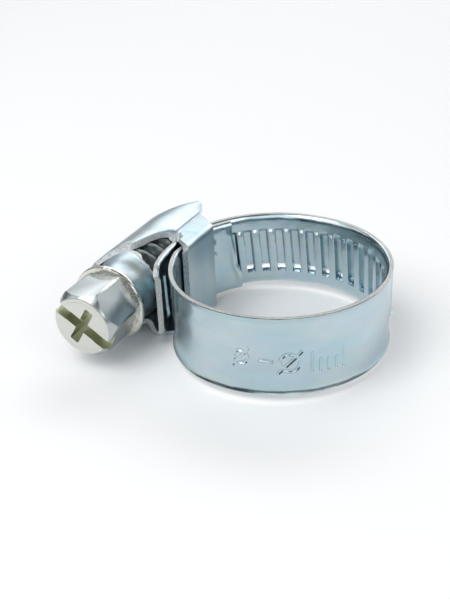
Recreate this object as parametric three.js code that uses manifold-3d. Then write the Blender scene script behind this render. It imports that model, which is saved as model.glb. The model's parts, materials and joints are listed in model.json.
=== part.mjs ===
// Worm-drive hose clamp, narrow band pattern, zinc-plated steel. Millimetres, +Z up.
//
// The band is a ring about Z. The screw lies along Y on the -X side of the ring, its head at -Y.
// Everything is modelled about the middle of the ring and moved at the end, so that the origin is
// under the middle of the whole clamp, at its lowest point.
//
// A real band bends. Here it is a chain of short rigid links with hinges about Z. One long piece
// with a pressed thread runs under the worm and turns about its own centre, as a worm wheel does.

import * as THREE from 'three';
import { mergeVertices } from 'three/addons/utils/BufferGeometryUtils.js';
import Module from 'manifold-3d';

const wasm = await Module();
wasm.setup();

// ---- driving dimensions ----

const BAND_WIDTH = 9.0;
const BAND_THICK = 0.6;
const EDGE_TURN = 0.25;          // how far the band's edges are turned outward
const EDGE_DEPTH = 0.7;          // how far in from the edge the turn starts
const RING_RADIUS = 11.9;        // middle of the sheet
const HINGE_GAP = 0.3;           // clear space between two links

const PITCH = 2.0;               // of the worm and of the pressed thread
const SCREW_X = -16.5;           // screw axis
const WORM_TIP_RADIUS = 3.8;
const WORM_ROOT_RADIUS = 3.0;
const WORM_FOOT_HALF = 0.5;      // half the ridge's width at its foot and at its crest
const WORM_CREST_HALF = 0.22;
const WORM_START = -4.2;
const WORM_END = 5.2;

const NECK_RADIUS = 2.65;
const COLLAR_RADIUS = 4.42;
const COLLAR_BACK = -8.15;
const COLLAR_FRONT = -8.9;
const HEAD_END = -14.1;
const HEX_ACROSS_FLATS = 7.0;
const HEX_TURN = 35;             // degrees, one flat's normal from +X towards +Z
const SLOT_TURN = 31;             // degrees, the slot from +X towards -Z
const SLOT_WIDTH = 1.2;
const SLOT_DEPTH = 1.3;
const CROSS_LENGTH = 4.6;
const CROSS_WIDTH = 1.0;
const CROSS_DEPTH = 2.0;

const THREAD_CENTRE_X = -0.35;   // centre that the threaded piece turns about
const MESH_RADIUS = 12.5;        // radius at which thread and worm meet
const RIB_LENGTH = 5.5;
const RIB_HEIGHT = 0.45;
const RIB_TOP = 0.84;
const RIB_FOOT = 1.1;
const GROOVE_WIDTH = 0.6;
const GROOVE_SKIN = 0.08;        // metal left between the groove and the outside of the sheet
const RIBS_TO_TIP = 9;           // pressed ribs from the screw to the end of the threaded piece
const RIBS_TO_TAIL = 3;
const TAIL_END = 213;            // degrees
const TAIL_LIFT = 0.85;          // how far the free end springs away from the ring
const TAIL_LIFT_START = 186;
const TAIL_LIFT_POWER = 1.2;
const TAIL_CHAMFER_ANGLE = 6;
const TAIL_CHAMFER_SHARE = 0.74; // share of the band's width left at the very end

const THREAD_LINKS = 4;
const RIBS_PER_LINK = 2;
const BAND_LINKS = 10;
const FIXED_END = 198;           // degrees, first hinge of the plain band
const SADDLE_BAND_X = -10.9;     // middle of the fixed end where it lies flat in the housing
const FLAT_HEAD_Y = -2.6;
const FLAT_TIP_Y = 3.7;
const FLAT_ANGLE = 193.4;        // polar angle where the flat part ends
const FLAT_RADIUS = 11.2;        // of the band as it leaves the housing
const FRONT_JOIN = 255;          // polar angle where it has joined the ring
const TONGUE_RADIUS = 11.1;
const TONGUE_END = 139.5;        // degrees

const SHEET = 0.56;              // housing
const DOME_RADIUS = 4.55;
const DOME_EDGE = 62;            // degrees, where the dome ends and the flare starts
const WRAP_OUTER_Z = 5.3;
const SADDLE_INNER_X = -9.7;
const HOUSING_BACK = -6.2;
const HOUSING_TIP = 10.75;
const ROOF_EDGE_X = -14.1;       // the roof starts to drop on this side of the valley
const ROOF_DROP_START = 5.5;
const ROOF_DROP = 3.0;
const NECK_RING_OUTER = 3.63;
const NECK_RING_INNER = 2.95;
const NECK_RING_FRONT = -7.85;
const NECK_RING_BACK = -5.4;
const SADDLE_THICK = 0.7;
const DOME_STEPS = 12;
const OVERLAP = 0.1;             // how far two pieces run into each other before they are joined

// ---- materials ----

const bandZinc = new THREE.MeshStandardMaterial({ color: 0xb9c9cf, roughness: 0.28, metalness: 1.0 });
const housingZinc = new THREE.MeshStandardMaterial({ color: 0xbcc8ce, roughness: 0.32, metalness: 1.0 });
const screwZinc = new THREE.MeshStandardMaterial({ color: 0xc9c6b8, roughness: 0.3, metalness: 1.0 });

// ---- helpers ----

const rad = THREE.MathUtils.degToRad;
const pt = (x, y) => new THREE.Vector2(x, y);
const lerp = THREE.MathUtils.lerp;

// A closed solid through a list of stations. Each station puts the points of one flat outline in space.
function sweep(points, stations) {
  const outline = THREE.ShapeUtils.isClockWise(points) ? [...points].reverse() : points;
  const count = outline.length;
  const positions = [];
  for (const place of stations) {
    for (const p of outline) {
      positions.push(...place(p.x, p.y).toArray());
    }
  }
  const index = [];
  for (let s = 0; s + 1 < stations.length; s += 1) {
    for (let i = 0; i < count; i += 1) {
      const a = s * count + i;
      const b = s * count + ((i + 1) % count);
      index.push(a, b, b + count, a, b + count, a + count);
    }
  }
  const last = (stations.length - 1) * count;
  for (const [a, b, c] of THREE.ShapeUtils.triangulateShape(outline, [])) {
    index.push(a, c, b, last + a, last + b, last + c);
  }
  const geometry = new THREE.BufferGeometry();
  geometry.setAttribute('position', new THREE.Float32BufferAttribute(positions, 3));
  geometry.setIndex(index);
  return geometry;
}

function volume(geometry) {
  const p = geometry.getAttribute('position');
  const index = geometry.getIndex();
  const corner = [new THREE.Vector3(), new THREE.Vector3(), new THREE.Vector3()];
  let total = 0;
  for (let i = 0; i < index.count; i += 3) {
    corner.forEach((v, k) => v.fromBufferAttribute(p, index.getX(i + k)));
    total += corner[0].dot(corner[1].cross(corner[2])) / 6;
  }
  return total;
}

function toSolid(source) {
  const bare = source.clone();
  bare.deleteAttribute('normal');
  bare.deleteAttribute('uv');
  const merged = mergeVertices(bare, 1e-5);
  const triangles = Uint32Array.from(merged.getIndex().array);
  if (volume(merged) < 0) {
    triangles.reverse();
  }
  const vertices = Float32Array.from(merged.getAttribute('position').array);
  return new wasm.Manifold(new wasm.Mesh({ numProp: 3, vertProperties: vertices, triVerts: triangles }));
}

function toGeometry(solid) {
  const mesh = solid.getMesh();
  const geometry = new THREE.BufferGeometry();
  geometry.setAttribute('position', new THREE.Float32BufferAttribute(mesh.vertProperties, 3));
  geometry.setIndex([...mesh.triVerts]);
  return geometry;
}

const join = (first, ...rest) => rest.reduce((sum, piece) => sum.add(piece), first);
const cut = (first, ...rest) => rest.reduce((left, piece) => left.subtract(piece), first);

const numbered = (name, i) => `${name}_${String(i + 1).padStart(2, '0')}`;

function addMesh(group, name, solid, material) {
  const mesh = new THREE.Mesh(toGeometry(solid), material);
  mesh.name = name;
  group.add(mesh);
  return mesh;
}

// A prism on an outline in the XY plane, between two heights.
function prism(points, low, high) {
  const options = { depth: high - low, bevelEnabled: false };
  const geometry = new THREE.ExtrudeGeometry(new THREE.Shape(points), options);
  return toSolid(geometry.translate(0, 0, low));
}

// A ring or disc about Y, from a profile of radius and height along Y.
const turned = (profile, segments = 48) => toSolid(new THREE.LatheGeometry(profile, segments));

// ---- band ----

// The band's section: first number outward through the sheet, second number up the band.
function bandSection() {
  const half = BAND_THICK / 2;
  const edge = BAND_WIDTH / 2;
  const start = edge - EDGE_DEPTH;
  return [
    pt(0, -edge), pt(half + EDGE_TURN, -edge), pt(half, -start), pt(half, start),
    pt(half + EDGE_TURN, edge), pt(0, edge), pt(-half, start), pt(-half, -start),
  ];
}

// Stations along a curve of polar angle, about a centre on the X axis.
function polarStations(from, to, steps, radiusAt, centreX = 0, heightScale = () => 1) {
  return Array.from({ length: steps + 1 }, (_, i) => {
    const angle = lerp(from, to, i / steps);
    return (out, up) => {
      const r = radiusAt(angle) + out;
      const z = up * heightScale(angle);
      return new THREE.Vector3(centreX + r * Math.cos(rad(angle)), r * Math.sin(rad(angle)), z);
    };
  });
}

const gapAngle = THREE.MathUtils.radToDeg(HINGE_GAP / 2 / RING_RADIUS);
const ribAngle = THREE.MathUtils.radToDeg(PITCH / MESH_RADIUS);
const threadEnd = 180 - RIBS_TO_TIP * ribAngle;

// One pressed rib across the band at a polar angle: a ridge outside and a groove inside, slanted
// as the worm is.
function ribParts(angle, radius, centreX) {
  const slant = PITCH / (2 * Math.PI * WORM_TIP_RADIUS);
  const outer = radius + BAND_THICK / 2;
  const bar = (outline) => {
    const ends = [-RIB_LENGTH / 2, RIB_LENGTH / 2];
    return toSolid(sweep(outline, ends.map((z) => (along, r) => {
      const a = rad(angle) + (slant * z + along) / MESH_RADIUS;
      return new THREE.Vector3(centreX + r * Math.cos(a), r * Math.sin(a), z);
    })));
  };
  const ridge = bar([
    pt(-RIB_FOOT / 2, outer - BAND_THICK / 3), pt(RIB_FOOT / 2, outer - BAND_THICK / 3),
    pt(RIB_TOP / 2, outer + RIB_HEIGHT), pt(-RIB_TOP / 2, outer + RIB_HEIGHT),
  ]);
  const groove = bar([
    pt(-GROOVE_WIDTH / 2, outer - 2 * BAND_THICK), pt(GROOVE_WIDTH / 2, outer - 2 * BAND_THICK),
    pt(GROOVE_WIDTH / 2, outer - GROOVE_SKIN), pt(-GROOVE_WIDTH / 2, outer - GROOVE_SKIN),
  ]);
  return { ridge, groove };
}

function pressRibs(strip, angles, radius, centreX) {
  const parts = angles.map((angle) => ribParts(angle, radius, centreX));
  return cut(join(strip, ...parts.map((p) => p.ridge)), ...parts.map((p) => p.groove));
}

// The threaded piece: from the free tail, under the worm, to the first hinge on the back of the ring.
function bandThread() {
  const chamferStart = TAIL_END - TAIL_CHAMFER_ANGLE;
  const radiusAt = (angle) => {
    const share = Math.max(0, (angle - TAIL_LIFT_START) / (TAIL_END - TAIL_LIFT_START));
    return RING_RADIUS + TAIL_LIFT * share ** TAIL_LIFT_POWER;
  };
  const body = polarStations(threadEnd + gapAngle, chamferStart, 24, radiusAt, THREAD_CENTRE_X);
  const corner = (angle) => (angle > chamferStart ? TAIL_CHAMFER_SHARE : 1);
  const tip = polarStations(chamferStart, TAIL_END, 1, radiusAt, THREAD_CENTRE_X, corner).slice(1);
  const strip = toSolid(sweep(bandSection(), body.concat(tip)));
  const angles = [];
  for (let k = -RIBS_TO_TAIL; k < RIBS_TO_TIP; k += 1) {
    angles.push(180 - (k + 0.5) * ribAngle);
  }
  return pressRibs(strip, angles, RING_RADIUS, THREAD_CENTRE_X);
}

// Threaded links on the back and right of the ring.
function addThreadLinks(group) {
  const endX = THREAD_CENTRE_X + RING_RADIUS * Math.cos(rad(threadEnd));
  const endY = RING_RADIUS * Math.sin(rad(threadEnd));
  const first = THREE.MathUtils.radToDeg(Math.atan2(endY, endX));
  const span = RIBS_PER_LINK * ribAngle;
  for (let i = 0; i < THREAD_LINKS; i += 1) {
    const from = first - i * span;
    const to = from - span;
    const stations = polarStations(from - gapAngle, to + gapAngle, 4, () => RING_RADIUS);
    const strip = toSolid(sweep(bandSection(), stations));
    const angles = Array.from({ length: RIBS_PER_LINK }, (_, k) => from - (k + 0.5) * ribAngle);
    addMesh(group, numbered('thread_link', i), pressRibs(strip, angles, RING_RADIUS, 0), bandZinc);
  }
  return first - THREAD_LINKS * span;
}

// The plain band leaves the housing a little inside the ring and joins it on the front.
function plainRadius(angle) {
  return lerp(FLAT_RADIUS, RING_RADIUS, THREE.MathUtils.smoothstep(angle, FLAT_ANGLE, FRONT_JOIN));
}

function addBandLinks(group, openPivot) {
  const span = (openPivot + 360 - FIXED_END) / BAND_LINKS;
  for (let i = 0; i < BAND_LINKS; i += 1) {
    const from = FIXED_END + i * span;
    const stations = polarStations(from + gapAngle, from + span - gapAngle, 4, plainRadius);
    const strip = toSolid(sweep(bandSection(), stations));
    addMesh(group, numbered('band_link', i), strip, bandZinc);
  }
}

// The fixed end lies flat in the housing.
function bandFixedEnd() {
  const flat = [FLAT_TIP_Y - HINGE_GAP / 2, FLAT_HEAD_Y].map((y) => (out, up) => (
    new THREE.Vector3(SADDLE_BAND_X - out, y, up)));
  const bend = polarStations(FLAT_ANGLE + 2, FIXED_END - gapAngle, 1, plainRadius);
  return toSolid(sweep(bandSection(), flat.concat(bend)));
}

// The tongue is the last stretch of the fixed end, inside the threaded band on the tip side.
function bandTongue() {
  const start = 180 - THREE.MathUtils.radToDeg(Math.asin((FLAT_TIP_Y + HINGE_GAP / 2) / TONGUE_RADIUS));
  const stations = polarStations(start, TONGUE_END, 5, () => TONGUE_RADIUS, THREAD_CENTRE_X);
  return toSolid(sweep(bandSection(), stations));
}

// ---- housing ----

// Half of the housing's section, outside and inside, as points of X and Z.
function housingSection() {
  const arc = (radius, edge) => Array.from({ length: DOME_STEPS + 1 }, (_, i) => {
    const a = rad(lerp(180, edge, i / DOME_STEPS));
    return pt(SCREW_X + radius * Math.cos(a), radius * Math.sin(a));
  });
  const wrapInner = WRAP_OUTER_Z - SHEET;
  const saddleOuter = SADDLE_INNER_X - SADDLE_THICK;
  const outside = arc(DOME_RADIUS, DOME_EDGE).concat([
    pt(-14.1, 3.78), pt(-13.8, 3.85), pt(-13.66, 4.4), pt(-13.4, 5.0), pt(-12.9, WRAP_OUTER_Z),
    pt(SADDLE_INNER_X - 0.4, WRAP_OUTER_Z), pt(SADDLE_INNER_X - 0.12, WRAP_OUTER_Z - 0.14),
    pt(SADDLE_INNER_X, WRAP_OUTER_Z - 0.45),
  ]);
  const inside = arc(DOME_RADIUS - SHEET, DOME_EDGE).concat([
    pt(-14.2, 3.25), pt(-13.5, 3.25), pt(-13.14, 3.55), pt(-13.1, 4.3), pt(-12.75, wrapInner),
    pt(saddleOuter - 0.2, wrapInner), pt(saddleOuter, wrapInner - 0.25),
  ]);
  const bothHalves = (points) => (
    points.slice(1).map((p) => pt(p.x, -p.y)).reverse().concat(points));
  return { outside: bothHalves(outside), inside: bothHalves(inside) };
}

// The sheet is one closed band of metal in section: the inside outline is cut out of the outside one.
function housingShell() {
  const { outside, inside } = housingSection();
  const domeX = SCREW_X - DOME_RADIUS;
  const tube = (outline, from, to) => {
    const ys = [from, ROOF_DROP_START];
    const steps = 6;
    for (let i = 1; i <= steps; i += 1) {
      ys.push(lerp(ROOF_DROP_START, to, i / steps));
    }
    return toSolid(sweep(outline, ys.map((y) => (x, z) => {
      const t = Math.max(0, (y - ROOF_DROP_START) / (HOUSING_TIP - ROOF_DROP_START));
      const share = THREE.MathUtils.clamp((ROOF_EDGE_X - x) / (ROOF_EDGE_X - domeX), 0, 1);
      return new THREE.Vector3(x + ROOF_DROP * t * t * share, y, z);
    })));
  };
  return cut(tube(outside, HOUSING_BACK, HOUSING_TIP), tube(inside, HOUSING_BACK - 1, HOUSING_TIP + 1));
}

function housing() {
  const wallRadius = DOME_RADIUS - 0.02;
  const backWall = turned([
    pt(NECK_RING_INNER, HOUSING_BACK), pt(wallRadius, HOUSING_BACK),
    pt(wallRadius, HOUSING_BACK + SHEET), pt(NECK_RING_INNER, HOUSING_BACK + SHEET),
    pt(NECK_RING_INNER, HOUSING_BACK),
  ]).translate([SCREW_X, 0, 0]);
  const neck = turned([
    pt(NECK_RING_INNER, NECK_RING_FRONT), pt(NECK_RING_OUTER, NECK_RING_FRONT),
    pt(NECK_RING_OUTER, NECK_RING_BACK), pt(NECK_RING_INNER, NECK_RING_BACK),
    pt(NECK_RING_INNER, NECK_RING_FRONT),
  ]).translate([SCREW_X, 0, 0]);
  // Plan outlines of the openings: the head side is sheared open wide above the band and less below it.
  const headAbove = prism([
    pt(-19.3, -7), pt(-19.3, -5.6), pt(-18.6, -4.5), pt(-17.6, -4), pt(-16.7, -3.2), pt(-16.1, -1.6),
    pt(-15.6, 0.3), pt(-15, 1.8), pt(-14.4, 2.1), pt(-13.7, 1.1), pt(-12.6, -0.2), pt(-11.5, -1),
    pt(-10.7, -1.6), pt(-9.9, -2.4), pt(-9, -2.5), pt(-9, -7),
  ], 0, 6);
  const headBelow = prism([
    pt(-19.3, -7), pt(-19.3, -5.6), pt(-15.5, -5.2), pt(-12.5, -5.1), pt(-11, -4.2), pt(-9.9, -2.6),
    pt(-9, -2.5), pt(-9, -7),
  ], -6, 0.001);
  const tip = prism([
    pt(-9, 3.6), pt(-10.5, 3.9), pt(-11.2, 5), pt(-12.4, 5.9), pt(-13.3, 7.2), pt(-14.1, 8.5),
    pt(-14.5, 9.6), pt(-15, 10.3), pt(-16, 10.6), pt(-22, 10.6), pt(-22, 12), pt(-8, 12), pt(-8, 3.6),
  ].reverse(), -6, 6);
  return join(cut(join(housingShell(), backWall), headAbove, headBelow, tip), neck);
}

// ---- screw ----

function screwHead() {
  const root = COLLAR_FRONT + OVERLAP;
  const cornerRadius = HEX_ACROSS_FLATS / Math.sqrt(3);
  const hex = new THREE.CylinderGeometry(cornerRadius, cornerRadius, root - HEAD_END, 6);
  hex.rotateY(-rad(HEX_TURN)).translate(0, (root + HEAD_END) / 2, 0);
  const faceRadius = HEX_ACROSS_FLATS / 2 - 0.1;
  const outerRadius = faceRadius + 1.2;
  const chamfer = turned([
    pt(0, HEAD_END), pt(faceRadius, HEAD_END), pt(outerRadius, HEAD_END + 0.7),
    pt(outerRadius, root), pt(0, root),
  ]);
  const bar = (length, depth, width, turn) => {
    const box = new THREE.BoxGeometry(length, depth * 2, width);
    return toSolid(box.rotateY(rad(turn)).translate(0, HEAD_END, 0));
  };
  return cut(
    toSolid(hex).intersect(chamfer),
    bar(HEX_ACROSS_FLATS * 1.3, SLOT_DEPTH, SLOT_WIDTH, SLOT_TURN),
    bar(CROSS_LENGTH, CROSS_DEPTH, CROSS_WIDTH, SLOT_TURN + 90),
    bar(CROSS_LENGTH, CROSS_DEPTH, CROSS_WIDTH, SLOT_TURN),
  );
}

// The worm's ridge, right-handed: it passes the band side of the screw at whole pitches from the middle.
function wormRidge() {
  const stepsPerTurn = 18;
  const steps = Math.round(((WORM_END - WORM_START) / PITCH) * stepsPerTurn);
  const foot = WORM_ROOT_RADIUS - 2 * OVERLAP;
  const outline = [
    pt(foot, -WORM_FOOT_HALF), pt(WORM_TIP_RADIUS, -WORM_CREST_HALF),
    pt(WORM_TIP_RADIUS, WORM_CREST_HALF), pt(foot, WORM_FOOT_HALF),
  ];
  const stations = Array.from({ length: steps + 1 }, (_, i) => {
    const y = lerp(WORM_START, WORM_END, i / steps);
    const angle = (2 * Math.PI * y) / PITCH;
    return (r, dy) => new THREE.Vector3(r * Math.cos(angle), y + dy, -r * Math.sin(angle));
  });
  return toSolid(sweep(outline, stations));
}

function screw() {
  const bevel = 0.12;
  const tipY = WORM_END + 1.2;
  const shaft = turned([
    pt(0, COLLAR_FRONT), pt(COLLAR_RADIUS - bevel, COLLAR_FRONT), pt(COLLAR_RADIUS, COLLAR_FRONT + bevel),
    pt(COLLAR_RADIUS, COLLAR_BACK - bevel), pt(COLLAR_RADIUS - bevel, COLLAR_BACK),
    pt(NECK_RADIUS, COLLAR_BACK), pt(NECK_RADIUS, WORM_START - 0.9), pt(WORM_ROOT_RADIUS, WORM_START - 0.6),
    pt(WORM_ROOT_RADIUS, WORM_END + 0.6), pt(WORM_ROOT_RADIUS - 0.8, tipY), pt(0, tipY),
  ]);
  return join(shaft, screwHead(), wormRidge());
}

// ---- assembly ----

const clamp = new THREE.Group();
addMesh(clamp, 'housing', housing(), housingZinc);
addMesh(clamp, 'band_fixed_end', bandFixedEnd(), bandZinc);
addMesh(clamp, 'band_tongue', bandTongue(), bandZinc);
addMesh(clamp, 'band_thread', bandThread(), bandZinc);
const openPivot = addThreadLinks(clamp);
addBandLinks(clamp, openPivot);
addMesh(clamp, 'screw', screw(), screwZinc).position.x = SCREW_X;

const box = new THREE.Box3().setFromObject(clamp);
clamp.position.set(-(box.min.x + box.max.x) / 2, -(box.min.y + box.max.y) / 2, -box.min.z);

const hoseClamp = new THREE.Group();
hoseClamp.add(clamp);

export default hoseClamp;
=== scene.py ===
"""Worm-drive hose clamp with a narrow band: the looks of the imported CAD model.

Shapes are written in millimetres about the middle of the ring, with the screw along Y on the -X side.
place() turns such a point into the row frame, in metres.
"""

import json
import math

import bmesh
import bpy
from mathutils import Matrix, Vector, noise


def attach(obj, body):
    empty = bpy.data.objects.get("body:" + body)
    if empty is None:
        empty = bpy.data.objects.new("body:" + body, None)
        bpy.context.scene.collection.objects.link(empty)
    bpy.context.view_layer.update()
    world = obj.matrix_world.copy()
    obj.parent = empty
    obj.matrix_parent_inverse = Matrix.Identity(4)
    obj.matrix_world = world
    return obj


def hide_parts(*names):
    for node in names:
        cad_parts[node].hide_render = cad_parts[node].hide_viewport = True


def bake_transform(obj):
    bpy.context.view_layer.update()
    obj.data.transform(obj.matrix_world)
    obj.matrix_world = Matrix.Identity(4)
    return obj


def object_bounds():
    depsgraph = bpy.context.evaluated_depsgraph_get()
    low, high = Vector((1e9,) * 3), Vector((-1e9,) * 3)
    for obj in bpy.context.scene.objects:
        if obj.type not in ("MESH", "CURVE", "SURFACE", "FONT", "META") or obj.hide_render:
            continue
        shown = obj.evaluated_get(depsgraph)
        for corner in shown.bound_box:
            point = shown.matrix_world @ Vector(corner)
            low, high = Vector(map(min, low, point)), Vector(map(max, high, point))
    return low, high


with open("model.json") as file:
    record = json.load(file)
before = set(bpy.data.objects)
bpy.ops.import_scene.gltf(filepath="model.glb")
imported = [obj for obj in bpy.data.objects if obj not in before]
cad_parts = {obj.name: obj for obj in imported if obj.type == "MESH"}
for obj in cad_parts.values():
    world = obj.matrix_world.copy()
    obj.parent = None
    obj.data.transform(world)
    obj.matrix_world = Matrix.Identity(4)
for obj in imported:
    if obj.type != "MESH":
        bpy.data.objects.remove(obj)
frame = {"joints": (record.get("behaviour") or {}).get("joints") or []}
cad_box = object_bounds()

MM = 0.001
JOINT_AT = {joint["name"]: Vector(joint["pos_m"]) for joint in frame["joints"]}

THREAD_CENTRE_X = -0.35
RING = JOINT_AT["thread_feed"] - Vector((THREAD_CENTRE_X * MM, 0, 0))
SCREW_X = (JOINT_AT["screw_turn"].x - RING.x) / MM

# ---- dimensions, those of the CAD part unless a comment says otherwise ----

RING_RADIUS = 11.9
HALF_SHEET = 0.3
HALF_WIDTH = 4.5
TURN_START = 3.8
TURN_OUT = 0.25

PITCH_ANGLE = math.degrees(2.0 / 12.5)
THREAD_END_Q = 9                 # pitches from the screw to the end of the threaded piece
THREAD_LINKS = 4
TAIL_Q = -3.6
TAIL_LIFT_ANGLE = 186.0
TAIL_END_ANGLE = 213.0
TAIL_LIFT = 0.85
RIB_SLANT = 2.0 / (2 * math.pi * 3.8)
RIB_HEIGHT = 0.45

FIXED_END = 198.0
BAND_LINKS = 10
FLAT_ANGLE = 193.4
FLAT_RADIUS = 11.2
FRONT_JOIN = 255.0
SADDLE_BAND_X = -10.9
FLAT_HEAD_Y = -2.6
FLAT_TIP_Y = 3.7
TONGUE_RADIUS = 11.1
TONGUE_END = 139.5
TONGUE_JOIN = 0.15               # the tongue and the fixed end meet this far inside the saddle's tip

DOME_OUTER = 4.55
DOME_INNER = 3.99
ROOF_EDGE_X = -14.1
ROOF_DROP_START = 5.5
ROOF_DROP = 2.8                  # a little less than in the CAD part, to leave room for the lobe
ROOF_LOBE = 0.9                  # looks only: how much more the roof turns down at its very tip
HOUSING_TIP = 10.75
SHEAR_SLOPE = 0.7                # looks only: how much further back the outside of the torn edge lies

COLLAR_BACK = -8.15
COLLAR_FRONT = -8.9
COLLAR_RADIUS = 4.42
HEAD_END = -14.1
HEX_ACROSS_FLATS = 7.0
HEX_TURN = 35.0
SLOT_TURN = 31.0
SLOT_WIDTH = 1.3
SLOT_DEPTH = 1.35
CROSS_LENGTH = 4.7
CROSS_WIDTH = 1.05
CROSS_DEPTH = 2.0
CUT_START = 1.0                  # how far in front of the end face the cutting shapes begin
END_FACE_MARGIN = 0.14           # how far inside the flats the end face's rim lies
NECK_RADIUS = 2.65
WORM_TIP = 3.8
WORM_ROOT = 3.0
WORM_START = -4.2
WORM_END = 5.2
PITCH = 2.0


# ---- small helpers ----

def place(x, y, z):
    return RING + Vector((x, y, z)) * MM


def polar(radius, angle, z, centre_x=0.0):
    turn = math.radians(angle)
    return Vector((centre_x + radius * math.cos(turn), radius * math.sin(turn), z))


def lerp(a, b, t):
    return a + (b - a) * t


def smoothstep(x, low, high):
    t = min(1.0, max(0.0, (x - low) / (high - low)))
    return t * t * (3 - 2 * t)


def along(x, table):
    """The value at x of a line through the points of table, which go up in x."""
    if x <= table[0][0]:
        return table[0][1]
    for (x0, y0), (x1, y1) in zip(table, table[1:]):
        if x <= x1:
            return lerp(y0, y1, (x - x0) / (x1 - x0))
    return table[-1][1]


def wobble(x, y, z, scale):
    return noise.noise(Vector((x, y, z)) * scale)


# ---- materials ----

class Nodes:
    """A material's node tree, with short calls for the nodes that every finish here uses."""

    def __init__(self, name):
        self.material = bpy.data.materials.new(name)
        self.material.use_nodes = True
        self.tree = self.material.node_tree
        self.shader = self.tree.nodes["Principled BSDF"]

    def add(self, kind, **settings):
        node = self.tree.nodes.new(kind)
        for key, value in settings.items():
            setattr(node, key, value)
        return node

    def link(self, source, target):
        self.tree.links.new(source, target)

    def flow(self, scale):
        """Place on the sheet in millimetres, stretched by scale along, across and through."""
        attribute = self.add("ShaderNodeAttribute", attribute_name="flow")
        mapping = self.add("ShaderNodeMapping")
        mapping.inputs["Scale"].default_value = scale
        self.link(attribute.outputs["Vector"], mapping.inputs["Vector"])
        return mapping.outputs["Vector"]

    def noise(self, scale, detail=3.0, roughness=0.55):
        node = self.add("ShaderNodeTexNoise")
        node.inputs["Scale"].default_value = 1.0
        node.inputs["Detail"].default_value = detail
        node.inputs["Roughness"].default_value = roughness
        self.link(self.flow(scale), node.inputs["Vector"])
        return node.outputs["Fac"]

    def ramp(self, source, *stops):
        node = self.add("ShaderNodeValToRGB")
        elements = node.color_ramp.elements
        while len(elements) < len(stops):
            elements.new(0.5)
        for element, (position, colour) in zip(elements, stops):
            element.position = position
            element.color = (*colour, 1.0)
        self.link(source, node.inputs["Fac"])
        return node.outputs["Color"]

    def mix(self, first, second, factor, blend="MIX"):
        node = self.add("ShaderNodeMix", data_type="RGBA", blend_type=blend)
        for socket, value in zip((node.inputs[6], node.inputs[7]), (first, second)):
            if isinstance(value, tuple):
                socket.default_value = (*value, 1.0)
            else:
                self.link(value, socket)
        if isinstance(factor, float):
            node.inputs[0].default_value = factor
        else:
            self.link(factor, node.inputs[0])
        return node.outputs[2]

    def spread(self, source, low, high):
        node = self.add("ShaderNodeMapRange")
        node.inputs["To Min"].default_value = low
        node.inputs["To Max"].default_value = high
        node.inputs["From Min"].default_value = 0.3
        node.inputs["From Max"].default_value = 0.7
        self.link(source, node.inputs["Value"])
        return node.outputs["Result"]

    def bumps(self, *layers):
        """Bump nodes one on another, from (height, strength, distance in millimetres) layers."""
        normal = None
        for height, strength, distance in layers:
            node = self.add("ShaderNodeBump")
            node.inputs["Strength"].default_value = strength
            node.inputs["Distance"].default_value = distance * MM
            self.link(height, node.inputs["Height"])
            if normal is not None:
                self.link(normal, node.inputs["Normal"])
            normal = node.outputs["Normal"]
        self.link(normal, self.shader.inputs["Normal"])

    def finish(self, colour, roughness, metallic=1.0):
        self.shader.inputs["Metallic"].default_value = metallic
        self.link(colour, self.shader.inputs["Base Color"])
        self.link(roughness, self.shader.inputs["Roughness"])
        return self.material


def zinc(name, cool, warm, deep, roughness, lines, streaks):
    """Bright zinc plate on drawn sheet: cloudy tint, a faint iridescence, drawing lines, specks."""
    n = Nodes(name)
    clouds = n.noise((0.16, 0.22, 0.3), 4.0)
    tint = n.mix(cool, warm, n.spread(clouds, 0.0, 1.0))
    shimmer = n.ramp(
        n.noise((0.1, 0.5, 0.4), 2.0),
        (0.40, (1.0, 1.0, 1.0)), (0.50, (1.0, 0.95, 0.97)),
        (0.57, (1.0, 0.99, 0.92)), (0.64, (0.95, 1.0, 1.0)),
    )
    tint = n.mix(tint, shimmer, 0.8, "MULTIPLY")
    specks = n.ramp(n.noise((2.6, 2.9, 2.6), 5.0, 0.7), (0.27, deep), (0.34, (1.0, 1.0, 1.0)))
    tint = n.mix(tint, specks, 0.55, "MULTIPLY")
    fine = n.noise((0.35, 13.0, 6.0), 4.0, 0.65)
    grain = n.noise((5.0, 6.0, 5.0), 4.0)
    waves = n.noise((0.22, 0.3, 0.3), 2.0)
    n.bumps((waves, 0.35, 0.5), (fine, lines, 0.03), (grain, 0.22, 0.03))
    return n.finish(tint, n.spread(fine, roughness - streaks, roughness + streaks))


def sheared(name, light, dark):
    """A cut edge of the sheet: torn, speckled grey with bright flecks."""
    n = Nodes(name)
    tear = n.noise((2.4, 6.0, 6.0), 6.0, 0.75)
    colour = n.ramp(tear, (0.30, dark), (0.46, lerp_colour(dark, light, 0.6)), (0.62, light))
    n.bumps((tear, 0.8, 0.12), (n.noise((9.0, 3.0, 9.0), 4.0), 0.4, 0.05))
    return n.finish(colour, n.spread(tear, 0.48, 0.3))


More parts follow.
